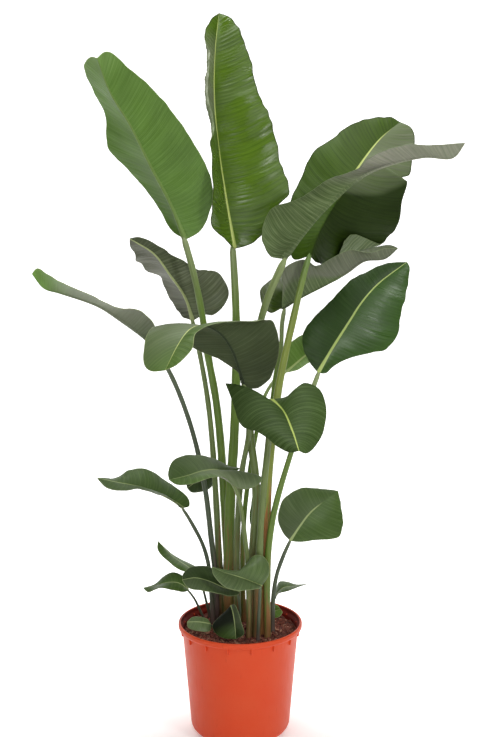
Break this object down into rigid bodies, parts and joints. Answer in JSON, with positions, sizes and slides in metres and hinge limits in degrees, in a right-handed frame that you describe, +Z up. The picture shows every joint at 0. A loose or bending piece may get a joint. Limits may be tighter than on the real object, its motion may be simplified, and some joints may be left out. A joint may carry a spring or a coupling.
{
  "type": "potted bird of paradise",
  "caption": "Tall potted bird of paradise house plant: long-stalked paddle leaves arching from the soil of a round, tapered plastic nursery pot with a rolled rim.",
  "frame": {"origin": "centre of the pot's flat underside, on the surface that it stands on", "axes": "+Z up along the pot's axis, the plant's longest extent; the side in the reference view faces -Y, with +X to its right"},
  "size_m": [0.7789, 0.3911, 1.4702],
  "materials": {
    "pot_plastic": "moulded orange-red nursery-pot plastic with a soft sheen",
    "potting_soil": null,
    "leaf": null
  },
  "bodies": {
    "root": {"pot": "pot_plastic", "soil": "potting_soil", "leaf_tall_centre": "leaf", "leaf_tall_left": "leaf", "leaf_big_right": "leaf", "leaf_long_right": "leaf", "leaf_curled_right": "leaf", "leaf_glossy_right": "leaf", "leaf_behind_right": "leaf", "leaf_under_left": "leaf", "leaf_far_left": "leaf", "leaf_arched_left": "leaf", "leaf_drooping_right": "leaf", "leaf_low_left": "leaf", "leaf_arched_low": "leaf", "leaf_low_right": "leaf", "leaf_low_back": "leaf", "leaf_shaded_middle": "leaf", "leaf_small_upper_left": "leaf", "leaf_small_left": "leaf", "leaf_small_front_left": "leaf", "leaf_small_front_right": "leaf", "leaf_small_right": "leaf", "leaf_tiny_right": "leaf", "leaf_tiny_front": "leaf", "leaf_tiny_left": "leaf"}
  },
  "joints": []
}
